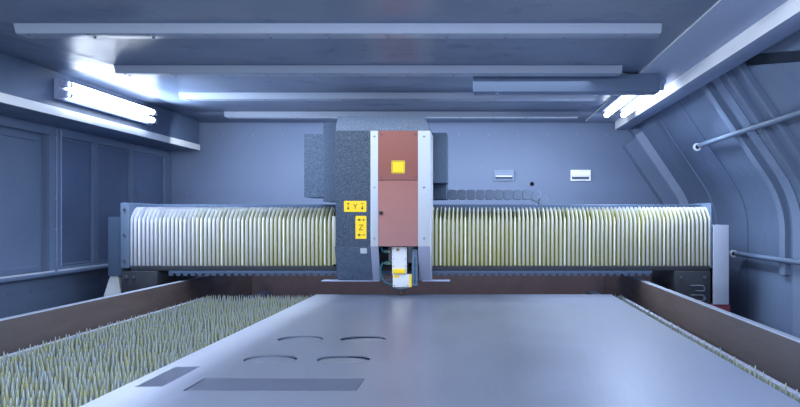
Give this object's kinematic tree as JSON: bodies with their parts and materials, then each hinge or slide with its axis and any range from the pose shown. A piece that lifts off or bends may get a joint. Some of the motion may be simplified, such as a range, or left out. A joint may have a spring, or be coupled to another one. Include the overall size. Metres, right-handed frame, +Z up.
{
  "type": "fiber laser cutting machine",
  "caption": "Enclosed fiber laser cutting machine with a travelling gantry, bellows-covered bridge, red-doored cutting carriage and a slatted shuttle pallet in a panelled cabin.",
  "frame": {"origin": "on the floor, in the middle of the footprint", "axes": "+Y along the machine's length from the loading opening to the rear wall, +X to the right as seen through the loading opening, +Z up"},
  "size_m": [3.18, 4.88, 1.8603],
  "materials": {
    "cabin_paint": "satin blue-grey powder coat",
    "light_grey_paint": "light grey-blue powder coat",
    "frame_paint": "dark grey-blue enamel",
    "guard_steel": "scorched, dull brown-black steel plate",
    "slat_steel": "cut steel slats, scorched",
    "work_steel": "cold-rolled sheet",
    "bellows_cloth": "silver-grey coated fabric, pleated",
    "cover_paint": "dark grey-blue satin",
    "white_paint": "off-white satin",
    "red_paint": "matt red",
    "dark_red_paint": "dark red enamel",
    "bright_steel": "machined steel",
    "black_plastic": "matt black",
    "lamp_glass": "lit tube lamp",
    "yellow_paint": "yellow",
    "copper_alloy": "turned copper alloy",
    "teal_plastic": "teal plastic hose"
  },
  "bodies": {
    "machine": {"base_frame": "frame_paint", "guard_plate_left": "guard_steel", "guard_plate_right": "guard_steel", "front_portal": "cabin_paint", "rear_wall": "cabin_paint", "pull_handle_left": "bright_steel", "pull_handle_right": "bright_steel", "left_wall": "cabin_paint", "right_wall": "cabin_paint", "rod_upper": "light_grey_paint", "rod_lower": "light_grey_paint", "roof": "cabin_paint", "sensor_beam": "cabin_paint", "lamp_rail_left": "light_grey_paint", "lamp_rail_right": "light_grey_paint", "lamp_left": "lamp_glass", "lamp_right_inner": "lamp_glass", "lamp_right_outer": "lamp_glass"},
    "front_door": {"front_door": "cabin_paint"},
    "left_door": {"left_door": "cabin_paint"},
    "right_door": {"right_door": "cabin_paint"},
    "pallet": {"pallet": "slat_steel", "work_sheet": "work_steel"},
    "scrap_drawer": {"scrap_drawer": "frame_paint"},
    "gantry": {"left_truck": "frame_paint", "right_truck": "dark_red_paint", "bridge_beam": "cabin_paint", "left_end_plate": "light_grey_paint", "left_gusset": "bright_steel", "right_end_plate": "light_grey_paint", "left_drive_box": "black_plastic", "right_drive_box": "black_plastic", "right_cover": "white_paint", "lower_strip": "black_plastic", "toothed_strip": "bright_steel", "bellows_left": "bellows_cloth", "bellows_right": "bellows_cloth", "cable_chain": "black_plastic"},
    "carriage": {"carriage_frame": "frame_paint", "cover_left": "cover_paint", "left_skirt": "cover_paint", "top_cover": "light_grey_paint", "centre_frame": "white_paint", "red_upper_panel": "red_paint", "bottom_shield": "light_grey_paint", "left_rear_box": "cover_paint", "right_rear_box": "cover_paint"},
    "red_door": {"red_door": "red_paint"},
    "door_lock": {"door_lock": "bright_steel"},
    "head": {"z_slide": "bright_steel", "head_body": "white_paint", "collimator": "bright_steel", "lower_body": "frame_paint", "nozzle_holder": "bright_steel", "nozzle": "copper_alloy", "sensor_post": "black_plastic", "water_hose": "teal_plastic", "gas_hose": "teal_plastic", "sensor_cable": "teal_plastic"},
    "window_cartridge": {"window_cartridge": "yellow_paint"}
  },
  "joints": [
    {"name": "pallet_slide", "type": "slide", "parent": "machine", "child": "pallet", "axis": [0, 1, 0], "range_m": [-2.6, 0]},
    {"name": "gantry_travel", "type": "slide", "parent": "machine", "child": "gantry", "axis": [0, 1, 0], "range_m": [-2.9, 0.15]},
    {"name": "carriage_travel", "type": "slide", "parent": "gantry", "child": "carriage", "axis": [1, 0, 0], "range_m": [-0.65, 0.8], "deforming": ["bellows_left", "bellows_right", "cable_chain"]},
    {"name": "head_lift", "type": "slide", "parent": "carriage", "child": "head", "axis": [0, 0, 1], "range_m": [0, 0.115]},
    {"name": "window_cartridge_slide", "type": "slide", "parent": "head", "child": "window_cartridge", "axis": [0, 1, 0], "range_m": [-0.05, 0]},
    {"name": "red_door_hinge", "type": "hinge", "parent": "carriage", "child": "red_door", "pos_m": [0.033, 0.83, 1.29], "axis": [0, 0, 1], "range_deg": [0, 95]},
    {"name": "door_lock_turn", "type": "hinge", "parent": "red_door", "child": "door_lock", "pos_m": [-0.1188, 0.83, 1.2956], "axis": [0, 1, 0], "range_deg": [0, 90]},
    {"name": "front_door_lift", "type": "slide", "parent": "machine", "child": "front_door", "axis": [0, 0, 1], "range_m": [0, 0.75]},
    {"name": "left_door_slide", "type": "slide", "parent": "machine", "child": "left_door", "axis": [0, 1, 0], "range_m": [-1.2, 0]},
    {"name": "right_door_swing", "type": "hinge", "parent": "machine", "child": "right_door", "pos_m": [1.18742, 0, 1.84185], "axis": [0, -1, 0], "range_deg": [0, 60]},
    {"name": "scrap_drawer_slide", "type": "slide", "parent": "machine", "child": "scrap_drawer", "axis": [0, 1, 0], "range_m": [0, 1.5]}
  ]
}
